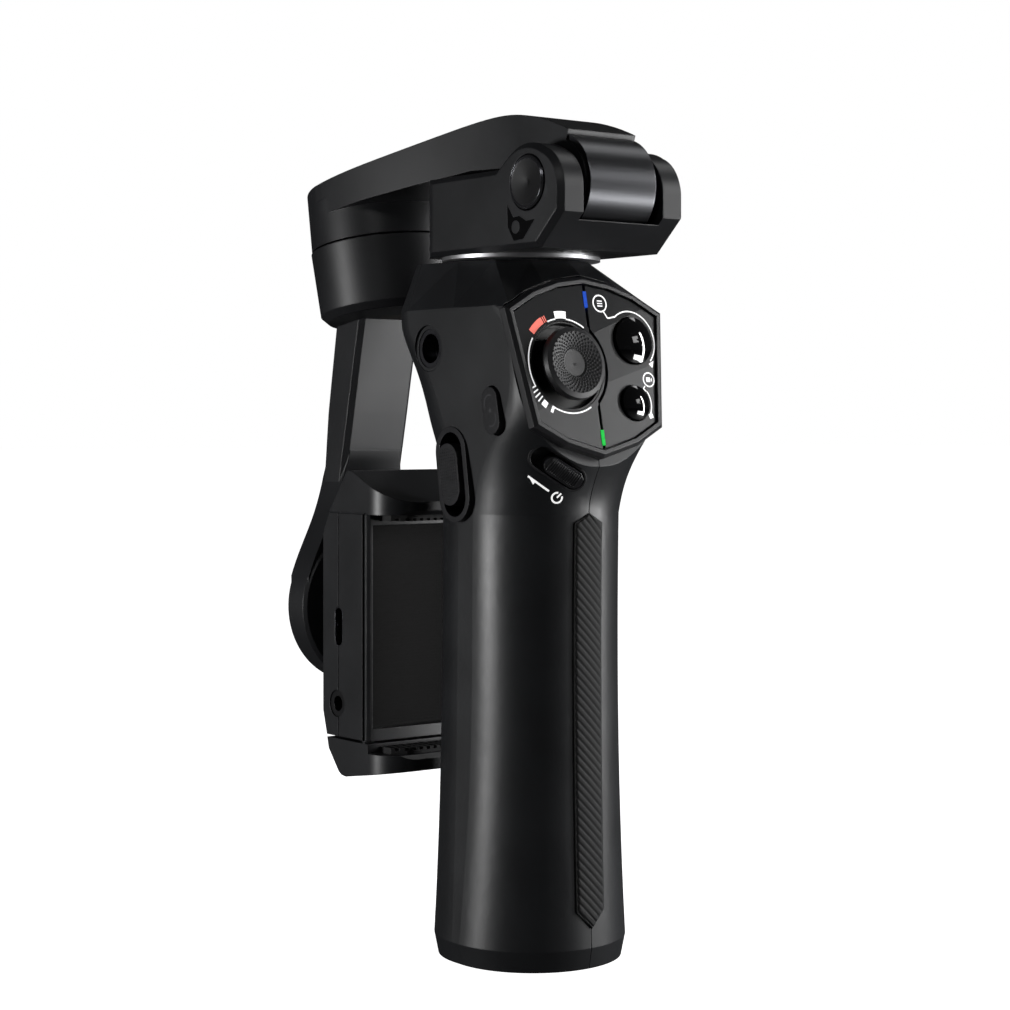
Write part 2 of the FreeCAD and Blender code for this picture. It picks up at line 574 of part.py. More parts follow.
def strut(rows):
    """Bar with bevelled long edges through (z, front, back) stations."""
    half = 8.65
    bevel = 1.2
    wires = []
    for z, front, back in rows:
        loop = [V(-half + bevel, front, z), V(half - bevel, front, z), V(half, front + bevel, z),
                V(half, back - bevel, z), V(half - bevel, back, z), V(-half + bevel, back, z),
                V(-half, back - bevel, z), V(-half, front + bevel, z)]
        wires.append(Part.makePolygon(loop + [loop[0]]))
    return Part.makeLoft(wires, True, True)


def make_tilt():
    """Cup, rotor and the lower arm that carries the roll motor."""
    cup_top = TILT_TOP - TILT_UP * 0.5
    cup = Part.makeCone(17.1, 18.2, CUP_DEEP, cup_top - TILT_UP * CUP_DEEP, TILT_UP)
    cup = cup.cut(rod(30, cup_top - TILT_UP * CUP_DEEP, TILT_UP, 1.6).cut(
        Part.makeCone(15.6, 17.2, 1.6, cup_top - TILT_UP * CUP_DEEP, TILT_UP)))
    cup = cup.cut(rod(13.6, cup_top - TILT_UP * 10.0, TILT_UP, 12.0))
    cup = cup.cut(rod(4.0, cup_top - TILT_UP * 30.0, TILT_UP, 40.0))
    rotor = rod(8.2, TILT_TOP + TILT_UP * 0.6, TILT_UP, 7.0)
    rotor = rotor.fuse(rod(4.0, cup_top - TILT_UP * CUP_DEEP, TILT_UP, CUP_DEEP + 10.6))
    save("tilt_rotor", rotor)

    arm = strut([(90.0, 62.4, 70.1), (102.4, 61.6, 70.3), (118.0, 58.1, 68.6), (126.0, 56.4, 67.2),
                 (139.5, 53.4, 64.8), (143.5, 52.5, 64.2)])
    profile = [(62.0, 71.0), (62.4, 90.0), (61.6, 102.4), (60.0, 109.0), (69.6, 109.0), (70.3, 102.4),
               (70.1, 90.0), (69.8, 71.0)]
    flare = curved_slab((-7.0, -114),
                        [(-7.3, -109), (-8.6, -101.6), (-11.6, -92.6), (-15.0, -85.4), (-17.6, -79.1)],
                        -72, 30, 90)
    flare.rotate(V(0, 0, 0), X_AXIS, -90)
    arm = arm.fuse(side_slab(profile, -20, 20).common(flare))
    arm = arm.cut(rod(30, cup_top - TILT_UP * CUP_DEEP, TILT_UP, 30))
    disc = rod(ROLL_R, V(0, 61.8, ROLL_Z), Y_AXIS, 8.0)
    disc = disc.makeChamfer(0.8, disc.Edges)
    arm = arm.fuse(disc)
    arm = arm.cut(rod(16.6, V(0, 63.2, ROLL_Z), Y_AXIS, 20))
    arm = arm.cut(rod(3.0 + RUN, V(0, 58, ROLL_Z), Y_AXIS, 10))
    save("tilt_cup", cup)
    save("lower_arm", arm)
    save("motor_cover", rod(16.6, V(0, 68.5, ROLL_Z), Y_AXIS, 1.3))
    save("roll_stator", coil_ring(16.4, 9.2, V(0, 63.6, ROLL_Z), Y_AXIS, 4.2, 12))


def round_tips(shape, z0, z1):
    """Round a jaw's two free corners, seen from above."""
    radius = 8.0
    reach = CLAMP_HALF - radius
    plan = box(-CLAMP_HALF, CLAMP_HALF, 28 + radius, 70, z0, z1).fuse(box(-reach, reach, 28, 37, z0, z1))
    for x in (-reach, reach):
        plan = plan.fuse(rod(radius, V(x, 28 + radius, z0), Z_AXIS, z1 - z0))
    return shape.common(plan.removeSplitter())


def jaw_pad(z_face, up):
    """Toothed rubber strip under or over a jaw."""
    top = z_face + up * 1.4
    lo = min(z_face, top)
    pad = box(-14.5, 14.5, 30.2, 36.6, lo, lo + 1.4)
    for i in range(15):
        x = -13.3 + i * 1.9
        notch = box(x - 0.45, x + 0.45, 29, 38, min(top, top - up * 0.6), max(top, top - up * 0.6))
        pad = pad.cut(notch)
    plan = flat_slab([(-14.5, 40), (-14.5, 32.4), (-11.5, 30.2), (11.5, 30.2), (14.5, 32.4), (14.5, 40)],
                     lo - 1, lo + 3)
    return pad.common(plan)


def make_clamp():
    """Phone clamp: shell, front frame, curved pad, fixed top jaw and its small parts."""
    hub = rod(9.0, V(0, 56.0, ROLL_Z), Y_AXIS, 5.3).fuse(rod(3.0, V(0, 56.0, ROLL_Z), Y_AXIS, 9.4))
    hub = hub.fuse(rod(8.8, V(0, 63.7, ROLL_Z), Y_AXIS, 3.8))
    save("roll_hub", hub)
    outline = [(36.6, CLAMP_LOW), (53.6, CLAMP_LOW), (55.6, 50), (56.7, 58), (57.1, 70), (56.9, 83),
               (54.9, 90.6), (52.4, CLAMP_HIGH), (36.6, CLAMP_HIGH)]
    whole = side_slab(outline, -CLAMP_HALF, CLAMP_HALF)
    plan = [(-18, 37.3), (-17.3, 36.6), (17.3, 36.6), (18, 37.3), (18, 55.2), (16.4, 57.4),
            (-16.4, 57.4), (-18, 55.2)]
    whole = whole.common(flat_slab(plan, 30, 100))
    room = side_slab([(41.0, 45.1), (51.6, 45.1), (53.4, 50), (54.5, 58), (54.9, 70), (54.7, 83),
                      (52.9, 89.4), (51.2, 93.0), (41.0, 93.0)], -16.0, 16.0)
    pad = box(-16.6, 16.6, 36.9, 41.0, 45.8, 92.2)
    whole = whole.cut(room).cut(hub).cut(box(-16.6, 16.6, 30, 41.0, 45.8, 92.2))
    for side in (-1, 1):
        x = side * CLAMP_HALF
        whole = whole.cut(box(x - 0.8, x + 0.8, SLIT_Y, SLIT_Y + 0.9, 30, 100))
        whole = whole.cut(box(x - 0.35, x + 0.35, PART_Y - 0.12, PART_Y + 0.12, 30, 100))
        whole = whole.cut(box(x - 0.5, x + 0.5, 30, 60, CLAMP_HIGH - 0.35, CLAMP_HIGH + 1))
    usb = pill(9.2, 3.4, -7.5, 0.0)
    usb_at = FreeCAD.Placement(V(-CLAMP_HALF, 48.6, 68.4), side_frame(V(0, 0, 0), 0).Rotation)
    port = usb.cut(pill(8.6, 2.8, -6.8, 1.0)).fuse(box(-0.4, 0.4, -3.2, 3.2, -7.4, -1.2))
    jack_at = V(-CLAMP_HALF, 49.3, 50.6)
    whole = whole.cut(placed(usb, usb_at)).cut(rod(3.1, jack_at, X_AXIS, 9.0))
    for x in (-13.0, 13.0):
        whole = whole.cut(rod(1.5 + RUN, V(x, 44.0, 40), Z_AXIS, 8))
    back = box(-30, 30, PART_Y, 70, 30, 110)
    save("clamp_shell", whole.common(back))
    save("clamp_frame", whole.cut(back))
    save("usb_port", placed(port, usb_at))
    save("audio_jack", tube(3.1, 1.75, jack_at + X_AXIS * 0.3, X_AXIS, 8.2))
    save("phone_pad", pad.cut(rod(60, V(0, 39.2 - 60, 40), Z_AXIS, 60)))

    jaw = side_slab([(28.0, 97.6), (28.0, 95.6), (29.2, 94.6), (36.6, 94.6), (36.6, CLAMP_HIGH),
                     (52.6, CLAMP_HIGH), (45.4, 104.2), (44.4, 104.6), (43.0, 104.4)],
                    -CLAMP_HALF, CLAMP_HALF)
    jaw = round_tips(jaw, 90, 110)
    save("top_jaw", jaw)
    save("top_jaw_pad", jaw_pad(94.6, -1))

    low = side_slab([(28.0, 36.8), (28.0, 39.4), (29.2, 40.4), (36.6, 40.4), (36.6, 42.5), (53.5, 42.5),
                     (52.8, 39.9), (48.6, 35.0), (47.4, 34.3), (45.6, 34.1)], -CLAMP_HALF, CLAMP_HALF)
    low = round_tips(low, 30, 45)
    rods = [rod(1.5, V(x, 44.0, 36.5), Z_AXIS, 50.0) for x in (-13.0, 13.0)]
    rods = Part.makeCompound(rods)
    save("lower_jaw", low.cut(rods))
    save("lower_jaw_pad", jaw_pad(40.4, 1))
    save("guide_rods", rods)
    helix = Part.makeHelix(4.0, 40.0, 2.6)
    wire = Part.Wire(Part.makeCircle(0.45, V(2.6, 0, 0), Y_AXIS))
    coil = Part.Wire(helix).makePipeShell([wire], True, True)
    coil.translate(V(0, 46.0, 46.0))
    save("clamp_spring", coil)


os.makedirs("parts", exist_ok=True)
make_handle()
make_foot()
make_insides()
make_panel()
make_joystick()
press_button("capture_button", CAPTURE_UV, CAPTURE_R, 1.3)
press_button("record_button", RECORD_UV, RECORD_R, 1.1)
make_side_controls()
make_pan()
make_arm()
make_tilt()
make_clamp()
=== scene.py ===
import bmesh
import bpy
import json
import math
from mathutils import Matrix, Vector
from mathutils.bvhtree import BVHTree

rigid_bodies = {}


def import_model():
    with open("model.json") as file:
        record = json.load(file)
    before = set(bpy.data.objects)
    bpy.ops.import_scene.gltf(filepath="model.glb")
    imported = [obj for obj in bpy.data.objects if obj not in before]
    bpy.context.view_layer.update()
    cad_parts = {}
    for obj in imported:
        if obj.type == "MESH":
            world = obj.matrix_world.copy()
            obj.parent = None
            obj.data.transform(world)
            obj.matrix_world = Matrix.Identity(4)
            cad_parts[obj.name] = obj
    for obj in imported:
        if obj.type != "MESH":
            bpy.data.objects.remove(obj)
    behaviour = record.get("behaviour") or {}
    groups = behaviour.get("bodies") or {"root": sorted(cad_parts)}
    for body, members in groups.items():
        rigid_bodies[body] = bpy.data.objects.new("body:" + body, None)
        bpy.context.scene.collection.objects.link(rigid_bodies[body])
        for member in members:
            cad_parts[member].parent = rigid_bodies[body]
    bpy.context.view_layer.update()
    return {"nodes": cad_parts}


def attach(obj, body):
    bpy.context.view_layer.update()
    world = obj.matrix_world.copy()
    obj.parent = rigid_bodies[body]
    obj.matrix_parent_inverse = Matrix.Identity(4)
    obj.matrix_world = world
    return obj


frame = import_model()
nodes = frame["nodes"]
mm = 0.001


# The foot of the handle: a flat moulded plate let into the grip, four slotted screws and a
# brass bush for a tripod. The plate has a coarse spark texture and picks up pale scuffs
# from every table that it is stood on.
class Value:
    """A number that varies over a surface. Sums on it add their own nodes."""

    def __init__(self, tree, link):
        self.tree = tree
        self.link = link

    def maths(self, operation, *terms):
        return self.tree.node("ShaderNodeMath", {"operation": operation}, dict(enumerate(terms)))

    def __add__(self, other):
        return self.maths("ADD", self, other)

    def __sub__(self, other):
        return self.maths("SUBTRACT", self, other)

    def __rsub__(self, other):
        return self.maths("SUBTRACT", other, self)

    def __mul__(self, other):
        return self.maths("MULTIPLY", self, other)

    def __truediv__(self, other):
        return self.maths("DIVIDE", self, other)

    def least(self, other):
        return self.maths("MINIMUM", self, other)

    def size(self):
        return self.maths("ABSOLUTE", self)

    def sine(self):
        return self.maths("SINE", self)

    def root(self):
        return self.maths("SQRT", self)

    def fraction(self):
        return self.maths("FRACT", self)

    def fade(self, low, high):
        """0 below low, 1 above high, smooth between."""
        return self.tree.node("ShaderNodeMapRange", {"interpolation_type": "SMOOTHSTEP"},
                              {0: self, 1: low, 2: high, 3: 0.0, 4: 1.0})

    __radd__ = __add__
    __rmul__ = __mul__


class Tree:
    """A node tree that is written one node at a time."""

    def node(self, kind, settings=None, sockets=None, output=0):
        """Add a node: its settings first, then the values or links of its sockets."""
        made = self.tree.nodes.new(kind)
        for key, value in (settings or {}).items():
            setattr(made, key, value)
        for key, value in (sockets or {}).items():
            if isinstance(value, Value):
                self.tree.links.new(value.link, made.inputs[key])
            else:
                made.inputs[key].default_value = value
        return Value(self, made.outputs[output])

    def axes(self, vector, letters):
        """The named parts of a vector."""
        return [self.node("ShaderNodeSeparateXYZ", {}, {0: vector}, output=letter) for letter in letters]


class Finish(Tree):
    """One material with its own node tree."""

    def __init__(self, name, **fixed):
        self.material = bpy.data.materials.new(name)
        self.material.use_nodes = True
        self.tree = self.material.node_tree
        self.shader = self.tree.nodes["Principled BSDF"]
        for socket, value in fixed.items():
            self.shader.inputs[socket.replace("_", " ")].default_value = value

    def feed(self, socket, value):
        self.tree.links.new(value.link, self.shader.inputs[socket])
        return self

    def place(self):
        return self.node("ShaderNodeTexCoord", output="Object")

    def noise(self, scale, detail=2.0, where=None):
        return self.node("ShaderNodeTexNoise", {},
                         {"Vector": where or self.place(), "Scale": scale, "Detail": detail}, output="Fac")

    def blend(self, factor, first, second):
        return self.node("ShaderNodeMix", {"data_type": "RGBA"}, {0: factor, 6: first, 7: second}, output=2)

    def edges(self, radius):
        """1 on outside edges, 0 on flats, from how far a rounded normal leans away: a mask for worn edges and
        for painted edge highlights.
        """
        soft = self.node("ShaderNodeBevel", {"samples": 4}, {"Radius": radius})
        flat = self.node("ShaderNodeNewGeometry", output="Normal")
        lean = self.node("ShaderNodeVectorMath", {"operation": "DOT_PRODUCT"}, {0: soft, 1: flat},
                         output="Value")
        return (1 - lean).fade(0.02, 0.22)

    def bump(self, height, depth=1.0, soften=0.0):
        """Relief in metres, on top of edges rounded to a radius."""
        sockets = {"Height": height, "Distance": depth, "Strength": 1.0}
        if soften:
            sockets["Normal"] = self.node("ShaderNodeBevel", {"samples": 4}, {"Radius": soften})
        return self.feed("Normal", self.node("ShaderNodeBump", {}, sockets))


def grey(level, cool=0.0):
    """A neutral colour, or a slightly cool one."""
    return (level, level, level + cool, 1)


def scaled(colour, share):
    """A colour made brighter or darker."""
    return tuple(min(1.0, share * c) for c in colour[:3]) + (1.0,)


def moulded(name, dark, light, rough, grain=0.35 * mm, depth=0.006 * mm, round_off=0.25 * mm, wear=0.25):
    """Moulded plastic: fine spark texture, cloudy sheen, edges rubbed a little paler."""
    plastic = Finish(name, Specular_IOR_Level=0.45)
    cloud = plastic.noise(60.0, 4.0)
    rub = plastic.edges(round_off * 1.6) * plastic.noise(420.0, 3.0).fade(0.35, 0.7) * wear
    speck = plastic.noise(1.0 / grain, 3.0)
    body = plastic.blend(cloud.fade(0.3, 0.7), dark, light)
    worn = tuple(min(1.0, 3.4 * c + 0.03) for c in light[:3]) + (1.0,)
    plastic.feed("Base Color", plastic.blend(rub, body, worn))
    plastic.feed("Roughness", rough + (cloud - 0.5) * 0.10 + (speck - 0.5) * 0.12 - rub * 0.25)
    return plastic.bump(speck, depth, round_off)


def metal(name, colour, rough, fleck=900.0, depth=0.002 * mm, tone=0.7):
    """Plated or turned metal with small pits and smears."""
    plated = Finish(name, Metallic=1.0)
    smear = plated.noise(140.0, 5.0)
    pits = plated.noise(fleck, 4.0)
    plated.feed("Base Color", plated.blend(smear.fade(0.35, 0.75), colour, scaled(colour, tone)))
    plated.feed("Roughness", rough + (smear - 0.5) * 0.18 + (pits - 0.5) * 0.10)
    return plated.bump(pits, depth, 0.12 * mm)


def dress(finish, slot, *names):
    """Give CAD nodes a finish; the slot is not used."""
    for name in names:
        nodes[name].data.materials.clear()
        nodes[name].data.materials.append(finish.material)


foot_plastic = moulded("foot_plastic", grey(0.010, 0.001), grey(0.017, 0.002), 0.55,
                       grain=0.5 * mm, depth=0.02 * mm, wear=0.7)
steel = metal("zinc_screws", (0.42, 0.42, 0.44, 1), 0.34)
brass = metal("brass_bush", (0.62, 0.46, 0.22, 1), 0.28)
dress(foot_plastic, "inner_plastic", "base_plate")
dress(steel, "steel", "base_screws")
dress(brass, "steel", "tripod_insert")


# Inside the handle: two wrapped lithium cells in a ribbed carrier, and green circuit boards
# with a solder mask, dark tracks and small tinned pads. The switches are black tact types.
cell_wrap = Finish("cell_wrap", Coat_Weight=0.5, Coat_Roughness=0.15)
wrinkle = cell_wrap.noise(260.0, 4.0)
wrap_blue = cell_wrap.blend(wrinkle.fade(0.3, 0.7), (0.02, 0.07, 0.20, 1), (0.03, 0.10, 0.28, 1))
cell_wrap.feed("Base Color", wrap_blue)
cell_wrap.feed("Roughness", 0.30 + wrinkle * 0.2)
cell_wrap.bump(wrinkle, 0.02 * mm)
board_mask = Finish("board_mask", Coat_Weight=0.4, Coat_Roughness=0.2)
etching = board_mask.node("ShaderNodeTexVoronoi", {"feature": "DISTANCE_TO_EDGE"},
                          {"Vector": board_mask.place(), "Scale": 420.0})
tracks = etching.fade(0.03, 0.07)
pads = board_mask.noise(900.0, 1.0).fade(0.66, 0.69)
board_green = board_mask.blend(tracks, (0.010, 0.05, 0.025, 1), (0.012, 0.10, 0.045, 1))
board_mask.feed("Base Color", board_mask.blend(pads, board_green, (0.60, 0.58, 0.52, 1)))
board_mask.feed("Metallic", pads)
board_mask.feed("Roughness", 0.42 - pads * 0.15)
board_mask.bump(tracks + pads, 0.03 * mm)
carrier_plastic = moulded("carrier_plastic", grey(0.03, 0.002), grey(0.045, 0.005), 0.5)
dress(cell_wrap, "cell_wrap", "battery_cells")
dress(board_mask, "board", "main_board", "panel_board")
dress(carrier_plastic, "inner_plastic", "battery_carrier", "tact_switches")


# The handle is two glass-filled nylon shells that meet on the centre line. They have a fine
# matt texture that shines softly in long bands, and small nicks near the foot.
shell_dark = (0.0105, 0.011, 0.0125, 1)
shell_light = (0.014, 0.0145, 0.0165, 1)
shell_plastic = moulded("shell_plastic", shell_dark, (0.0135, 0.0145, 0.0165, 1), 0.40)
dress(shell_plastic, "shell_plastic", "left_grip_shell", "right_grip_shell")


# A soft strip runs up the front of the grip: a pointed band of rubber with slanting ribs,
# moulded onto the shells. One surface follows the handle and its ribs follow a rule.
class Growth(Tree):
    """A Geometry Nodes tree with named sizes, run once and kept as a plain mesh."""

    def __init__(self, name, **sizes):
        self.tree = bpy.data.node_groups.new(name, "GeometryNodeTree")
        self.sizes = sizes
        self.ids = {}
        for key, value in sizes.items():
            self.add_input(key, "NodeSocketFloat" if isinstance(value, float) else "NodeSocketObject")
        self.add_input("Finish", "NodeSocketMaterial")
        self.tree.interface.new_socket("Geometry", in_out="OUTPUT", socket_type="NodeSocketGeometry")
        self.source = self.tree.nodes.new("NodeGroupInput")

    def add_input(self, key, kind):
        made = self.tree.interface.new_socket(key, in_out="INPUT", socket_type=kind)
        self.ids[key] = made.identifier

    def of(self, key):
        return Value(self, self.source.outputs[key])

    def grow(self, name, geometry, finish, body, slot):
        """Realise the result, give it its finish and let it ride on a body."""
        real = self.node("GeometryNodeRealizeInstances", {}, {0: geometry})
        done = self.node("GeometryNodeSetMaterial", {}, {"Geometry": real, "Material": self.of("Finish")})
        sink = self.tree.nodes.new("NodeGroupOutput")
        self.tree.links.new(done.link, sink.inputs[0])
        seed = bpy.data.objects.new(name + "_seed", bpy.data.meshes.new(name + "_seed"))
        bpy.context.scene.collection.objects.link(seed)
        modifier = seed.modifiers.new("growth", "NODES")
        modifier.node_group = self.tree
        for key, value in self.sizes.items():
            modifier[self.ids[key]] = value
        modifier[self.ids["Finish"]] = finish.material
        bpy.context.view_layer.update()
        ready = seed.evaluated_get(bpy.context.evaluated_depsgraph_get())
        mesh = bpy.data.meshes.new_from_object(ready)
        bpy.data.objects.remove(seed)
        return settle(name, mesh, finish, body)


def settle(name, mesh, finish, body):
    """Make a finished mesh a piece that rides on a body."""
    mesh.name = name
    piece = bpy.data.objects.new(name, mesh)
    bpy.context.scene.collection.objects.link(piece)
    if not mesh.materials:
        mesh.materials.append(finish.material)
    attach(piece, body)
    return piece


grip_rubber = moulded("grip_rubber", grey(0.005), grey(0.008, 0.001), 0.74,
                      grain=0.3 * mm, depth=0.01 * mm, round_off=0.1 * mm, wear=0.4)
dress(grip_rubber, "soft_rubber", "grip_strip")
ribs = Growth("slanting_ribs", Half=3.62 * mm, Low=8.75 * mm, High=96.15 * mm, Pitch=1.84 * mm,
              Rise=0.26 * mm, Strip=nodes["grip_strip"])
sheet = ribs.node("GeometryNodeMeshGrid", {},
                  {"Size X": 2.0, "Size Y": 1.0, "Vertices X": 27, "Vertices Y": 640})
across, along = ribs.axes(ribs.node("GeometryNodeInputPosition"), "XY")
up = ribs.of("Low") + (along + 0.5) * (ribs.of("High") - ribs.of("Low"))
half = ribs.of("Half").least((up - ribs.of("Low")) * 0.98).least((ribs.of("High") - up) * 1.8)
side = across * half
below = ribs.node("ShaderNodeCombineXYZ", {}, {0: across * 0.97 * half, 1: -0.05, 2: up})
strip = ribs.node("GeometryNodeObjectInfo", {"transform_space": "RELATIVE"}, {0: ribs.of("Strip")},
                  output="Geometry")
ray = {"Target Geometry": strip, "Source Position": below,
       "Ray Direction": (0.0, 1.0, 0.0), "Ray Length": 0.1}
face = ribs.axes(ribs.node("GeometryNodeRaycast", {}, ray, output="Hit Position"), "Y")[0]
turn = (up + side) / ribs.of("Pitch")
crest = ((turn.fraction() - 0.5).size() * 2.0).fade(0.95, 0.55)
rim = across.size().fade(1.0, 0.90)
rise = ribs.of("Rise") * (crest * 0.9 + 0.1) * rim - (1 - rim) * 0.5 * mm
ribbed = ribs.node("GeometryNodeSetPosition", {}, {
    "Geometry": sheet, "Position": ribs.node("ShaderNodeCombineXYZ", {}, {0: side, 1: face - rise, 2: up})})
smooth = ribs.node("GeometryNodeSetShadeSmooth", {}, {0: ribbed})
ribs.grow("grip_ribs", smooth, grip_rubber, "handle", "soft_rubber")


# The left side carries the power slider in its well, the zoom rocker in a raised rim and a
# press button for the modes. Slider and rocker are gritty to the thumb, the rest is smooth.
control_plastic = moulded("control_plastic", grey(0.010, 0.002), grey(0.016, 0.002), 0.36, wear=0.5)
dress(control_plastic, "panel_plastic", "power_knob", "zoom_slider", "mode_button", "zoom_bezel")
dress(foot_plastic, "inner_plastic", "power_well")

outwards = Vector((-0.38, -0.873, -0.305)).normalized()
sideways = Vector((0.83, -0.20, -0.52)).cross(outwards).normalized()
lengthways = outwards.cross(sideways)
slider_place = Matrix((sideways, lengthways, outwards)).transposed().to_4x4()
slider_place.translation = Vector((-9.0, -21.0, 105.9)) * mm


def seed_of(name, form):
    """A small shape that stands in the scene until it has been repeated."""
    mesh = bpy.data.meshes.new(name)
    form.to_mesh(mesh)
    form.free()
    seed = bpy.data.objects.new(name, mesh)
    bpy.context.scene.collection.objects.link(seed)
    return seed


def ridge_bar(length, width, rise):
    """One low bar with a rounded back, lying along x."""
    bar = bmesh.new()
    rows = []
    for t in (-0.5, -0.32, 0.0, 0.32, 0.5):
        lift = rise * (1 - (2 * t) ** 4)
        ends = [(-0.5, 0.0), (-0.42, lift), (0.42, lift), (0.5, 0.0)]
        rows.append([bar.verts.new((x * length, t * width, z)) for x, z in ends])
    for low, high in zip(rows, rows[1:]):
        for i in range(3):
            bar.faces.new((low[i], low[i + 1], high[i + 1], high[i]))
    return seed_of("ridge_bar", bar)


def repeat(name, seed, places, finish, body, slot):
    """Set a small shape at each place, moved and turned, as one piece."""
    points = bpy.data.meshes.new(name + "_spots")
    points.from_pydata([p.translation for p in places], [], [])
    turns = points.attributes.new("turn", "QUATERNION", "POINT")
    for i, place in enumerate(places):
        turns.data[i].value = place.to_quaternion()
    holder = bpy.data.objects.new(name + "_spots", points)
    bpy.context.scene.collection.objects.link(holder)
    field = Growth(name, Spots=holder, Shape=seed, Size=1.0)
    spots = field.node("GeometryNodeObjectInfo", {}, {0: field.of("Spots")}, output="Geometry")
    shape = field.node("GeometryNodeObjectInfo", {}, {0: field.of("Shape")}, output="Geometry")
    cloud = field.node("GeometryNodeMeshToPoints", {}, {"Mesh": spots})
    way = field.node("GeometryNodeInputNamedAttribute", {"data_type": "QUATERNION"}, {"Name": "turn"})
    many = field.node("GeometryNodeInstanceOnPoints", {},
                      {"Points": cloud, "Instance": shape, "Rotation": way, "Scale": field.of("Size")})
    piece = field.grow(name, field.node("GeometryNodeSetShadeSmooth", {}, {0: many}), finish, body, slot)
    for spare in (holder, seed):
        bpy.data.objects.remove(spare)
    return piece


knob_middle = 1.5
knob_pitch = 0.52
knob_rows = [slider_place @ Matrix.Translation((0, (knob_middle + knob_pitch * i) * mm, 0.55 * mm))
             for i in range(-7, 8)]
repeat("power_knob_ribs", ridge_bar(3.2 * mm, 0.36 * mm, 0.22 * mm), knob_rows, control_plastic,
       "power_knob", "panel_plastic")


def side_place(at, lean):
    """Frame on the left side: z outwards, y up the side."""
    return (Matrix.Translation(Vector(at) * mm) @ Matrix.Rotation(math.radians(-lean), 4, "X")
            @ Matrix.Rotation(math.radians(-90), 4, "Y") @ Matrix.Rotation(math.radians(-90), 4, "Z"))


def stud(radius, rise):
    """Small round-topped stud."""
    knob = bmesh.new()
    rings = []
    for share, lift in ((1.0, 0.0), (0.86, 0.62), (0.5, 0.95)):
        r = radius * share
        rings.append([knob.verts.new((r * math.cos(a), r * math.sin(a), rise * lift))
                      for a in (math.tau * k / 8 for k in range(8))])
    for low, high in zip(rings, rings[1:]):
        for k in range(8):
            knob.faces.new((low[k], low[(k + 1) % 8], high[(k + 1) % 8], high[k]))
    knob.faces.new(rings[-1])
    return seed_of("stud", knob)


zoom_place = side_place((-19.0, 2.6, 104.4), 8.5)
zoom_pitch = 0.68
zoom_spots = []
for row in range(-8, 9):
    for column in range(-4, 5):
        x = zoom_pitch * column
        y = zoom_pitch * row
        if math.hypot(x, max(0.0, abs(y) - 3.1)) < 3.0:
            zoom_spots.append(zoom_place @ Matrix.Translation((x * mm, y * mm, 1.08 * mm)))
repeat("zoom_rocker_studs", stud(0.22 * mm, 0.16 * mm), zoom_spots, control_plastic,
       "zoom_slider", "panel_plastic")


# White pad print: an arrow beside the power slider with the usual standby sign, and two
# bent arrows on the mode button. The ink is thin, slightly rough and a little worn, and the white and red
# inks carry a painted glow.
def ink(name, colour, painted_glow):
    """Printing ink that is rubbed a little thin in spots, with a painted glow that keeps it bright under any
    lamp.
    """
    print_ink = Finish(name, Roughness=0.55, Specular_IOR_Level=0.3, Emission_Strength=painted_glow)
    wear = print_ink.noise(1800.0, 3.0).fade(0.62, 0.80)
    for socket in ("Base Color", "Emission Color"):
        print_ink.feed(socket, print_ink.blend(wear, colour, scaled(colour, 0.72)))
    return print_ink.bump(print_ink.noise(3000.0), 0.002 * mm)


# Painted light: the white and red inks glow, so the print stays bright whatever light falls on it.
white_ink = ink("white_ink", grey(0.80), 0.9)
red_ink = ink("red_ink", (0.80, 0.17, 0.13, 1), 0.8)
grey_ink = ink("grey_ink", grey(0.05, 0.005), 0.0)


class Print:
    """Flat marks drawn in millimetres on a plane."""

    def __init__(self):
        self.sheet = bmesh.new()

    def patch(self, corners):
        self.sheet.faces.new([self.sheet.verts.new((x * mm, y * mm, 0)) for x, y in corners])
        return self

    def band(self, centre, inner, outer, start, stop):
        """Part of a ring between two angles in degrees, counter-clockwise."""
        steps = max(1, round(abs(stop - start) / 5))
        rows = []
        for i in range(steps + 1):
            a = math.radians(start + (stop - start) * i / steps)
            ends = [(centre[0] + r * math.cos(a), centre[1] + r * math.sin(a)) for r in (inner, outer)]
            rows.append([self.sheet.verts.new((x * mm, y * mm, 0)) for x, y in ends])
        for low, high in zip(rows, rows[1:]):
            self.sheet.faces.new((low[0], low[1], high[1], high[0]))
        return self

    def line(self, points, width):
        """Straight strokes from point to point, square at the joints."""
        for (ax, ay), (bx, by) in zip(points, points[1:]):
            length = math.hypot(bx - ax, by - ay)
            nx = -(by - ay) / length * width / 2
            ny = (bx - ax) / length * width / 2
            self.patch([(ax - nx, ay - ny), (bx - nx, by - ny), (bx + nx, by + ny), (ax + nx, ay + ny)])
        return self

    def lay(self, name, place, finish, body, onto=None):
        """Put the marks in their place, wrapped onto a surface if one is named."""
        bmesh.ops.recalc_face_normals(self.sheet, faces=self.sheet.faces)
        if onto:
            bmesh.ops.subdivide_edges(self.sheet, edges=self.sheet.edges, cuts=3, use_grid_fill=True)
            bmesh.ops.triangulate(self.sheet, faces=self.sheet.faces)
        for face in self.sheet.faces:
            if face.normal.z < 0:
                face.normal_flip()
        self.sheet.transform(place)
        if onto:
            skin = BVHTree.FromPolygons([v.co for v in onto.data.vertices],
                                        [p.vertices for p in onto.data.polygons])
            inwards = -(place.to_3x3() @ Vector((0, 0, 1)))
            for vert in self.sheet.verts:
                touch = skin.ray_cast(vert.co - inwards * 10 * mm, inwards)[0]
                vert.co = touch - inwards * 0.03 * mm
        mesh = bpy.data.meshes.new(name)
        self.sheet.to_mesh(mesh)
        self.sheet.free()
        return settle(name, mesh, finish, body)


